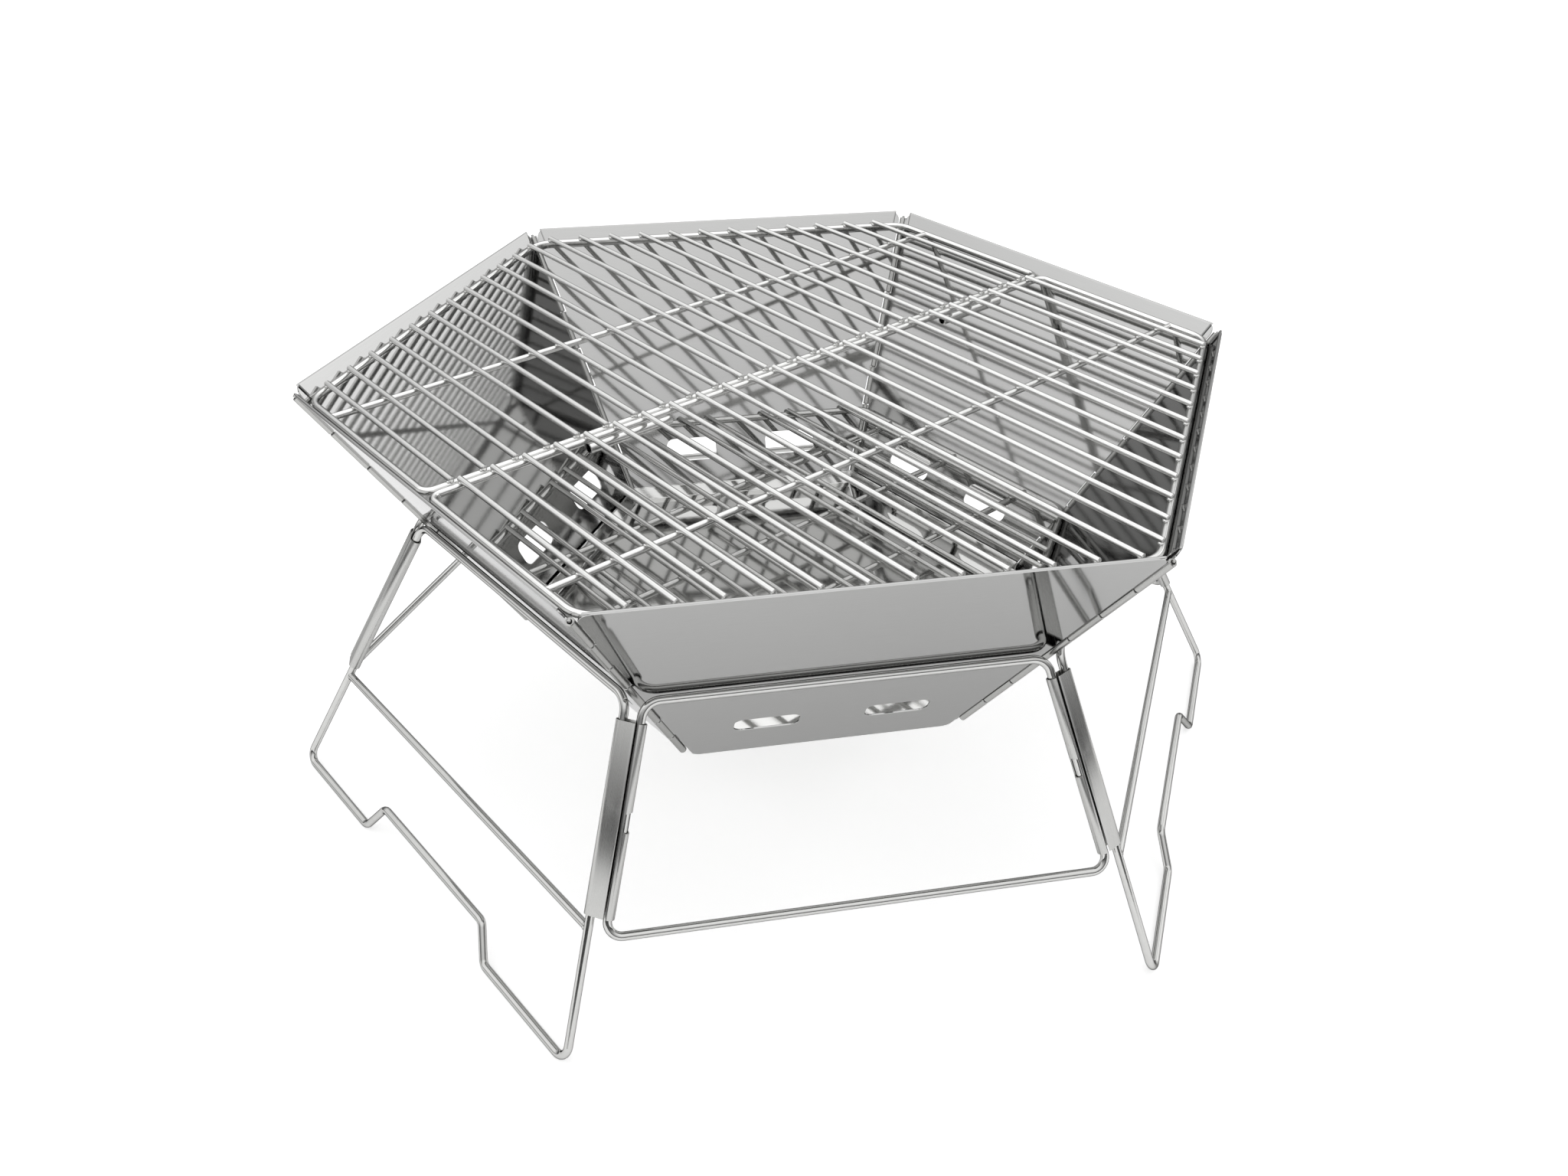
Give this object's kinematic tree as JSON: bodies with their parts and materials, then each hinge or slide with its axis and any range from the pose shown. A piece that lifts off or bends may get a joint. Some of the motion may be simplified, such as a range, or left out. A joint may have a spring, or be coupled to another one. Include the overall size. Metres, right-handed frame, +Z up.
{
  "type": "folding camp grill",
  "caption": "Hexagonal stainless steel folding camp grill: funnel-shaped sheet bowl in a folding wire stand, with split wire cooking nets and a charcoal grate.",
  "frame": {"origin": "on the floor under the middle of the grill", "axes": "+Z up, -Y towards the front panel, +X towards the right corner of the hexagon"},
  "size_m": [0.5344, 0.465, 0.2247],
  "materials": {
    "polished_sheet": "polished",
    "hinge_pin_steel": "satin",
    "polished_rod": "polished",
    "satin_sheet": "satin",
    "net_wire": "satin",
    "grate_wire": "satin"
  },
  "bodies": {
    "tall_front_left": {"tall_frame_front_left": "polished_rod", "sleeve_left": "satin_sheet", "sleeve_front_left": "satin_sheet"},
    "short_front": {"short_frame_front": "polished_rod"},
    "tall_front_right": {"tall_frame_front_right": "polished_rod", "sleeve_front_right": "satin_sheet", "sleeve_right": "satin_sheet"},
    "short_back_left": {"short_frame_back_left": "polished_rod"},
    "tall_back": {"tall_frame_back": "polished_rod", "sleeve_back_left": "satin_sheet", "sleeve_back_right": "satin_sheet"},
    "short_back_right": {"short_frame_back_right": "polished_rod"},
    "bowl": {"panel_front": "polished_sheet", "panel_front_right": "polished_sheet", "panel_back_right": "polished_sheet", "panel_back": "polished_sheet", "panel_back_left": "polished_sheet", "panel_front_left": "polished_sheet", "hinge_pin_front_left": "hinge_pin_steel", "hinge_pin_front_right": "hinge_pin_steel", "hinge_pin_right": "hinge_pin_steel", "hinge_pin_back_right": "hinge_pin_steel", "hinge_pin_back_left": "hinge_pin_steel", "hinge_pin_left": "hinge_pin_steel"},
    "ash_plate": {"ash_plate": "polished_sheet"},
    "charcoal_grate": {"charcoal_grate": "grate_wire"},
    "net_back": {"cooking_net_back": "net_wire"},
    "net_front": {"cooking_net_front": "net_wire"}
  },
  "joints": [
    {"name": "stand_fold", "type": "hinge", "parent": "tall_front_left", "child": "short_back_left", "pos_m": [-0.21914, 0.00411, 0.088], "axis": [0.4927, 0, 0.8702], "range_deg": [0, 90]},
    {"name": "fold_front_left_corner", "type": "hinge", "parent": "tall_front_left", "child": "short_front", "pos_m": [-0.10601, -0.19183, 0.088], "axis": [0.2463, 0.4267, 0.8702], "range_deg": [0, 57.79]},
    {"name": "fold_front_right_corner", "type": "hinge", "parent": "short_front", "child": "tall_front_right", "pos_m": [0.10601, -0.19183, 0.088], "axis": [-0.2463, 0.4267, 0.8702], "range_deg": [0, 31.78]},
    {"name": "fold_back_left_corner", "type": "hinge", "parent": "short_back_left", "child": "tall_back", "pos_m": [-0.11313, 0.18772, 0.088], "axis": [-0.2463, 0.4267, -0.8702], "range_deg": [0, 38.98]},
    {"name": "fold_back_right_corner", "type": "hinge", "parent": "tall_back", "child": "short_back_right", "pos_m": [0.11313, 0.18772, 0.088], "axis": [0.2463, 0.4267, -0.8702], "range_deg": [0, 55.54]},
    {"name": "bowl_lift", "type": "slide", "parent": "tall_front_left", "child": "bowl", "axis": [0, 0, 1], "range_m": [0, 0.534]},
    {"name": "ash_plate_lift", "type": "slide", "parent": "bowl", "child": "ash_plate", "axis": [0, 0, 1], "range_m": [0, 0.2]},
    {"name": "charcoal_grate_lift", "type": "slide", "parent": "ash_plate", "child": "charcoal_grate", "axis": [0, 0, 1], "range_m": [0, 0.15]},
    {"name": "back_net_lift", "type": "slide", "parent": "charcoal_grate", "child": "net_back", "axis": [0, 0, 1], "range_m": [0, 0.06]},
    {"name": "front_net_lift", "type": "slide", "parent": "charcoal_grate", "child": "net_front", "axis": [0, 0, 1], "range_m": [0, 0.06]}
  ],
  "couplings": [
    {"joint": "stand_fold", "follows": "bowl_lift", "rad_per_m": 2.9412},
    {"joint": "fold_front_left_corner", "follows": "bowl_lift", "rad_per_m": 1.8882},
    {"joint": "fold_front_right_corner", "follows": "bowl_lift", "rad_per_m": 1.0382},
    {"joint": "fold_back_left_corner", "follows": "bowl_lift", "rad_per_m": 1.2735},
    {"joint": "fold_back_right_corner", "follows": "bowl_lift", "rad_per_m": 1.8147}
  ]
}
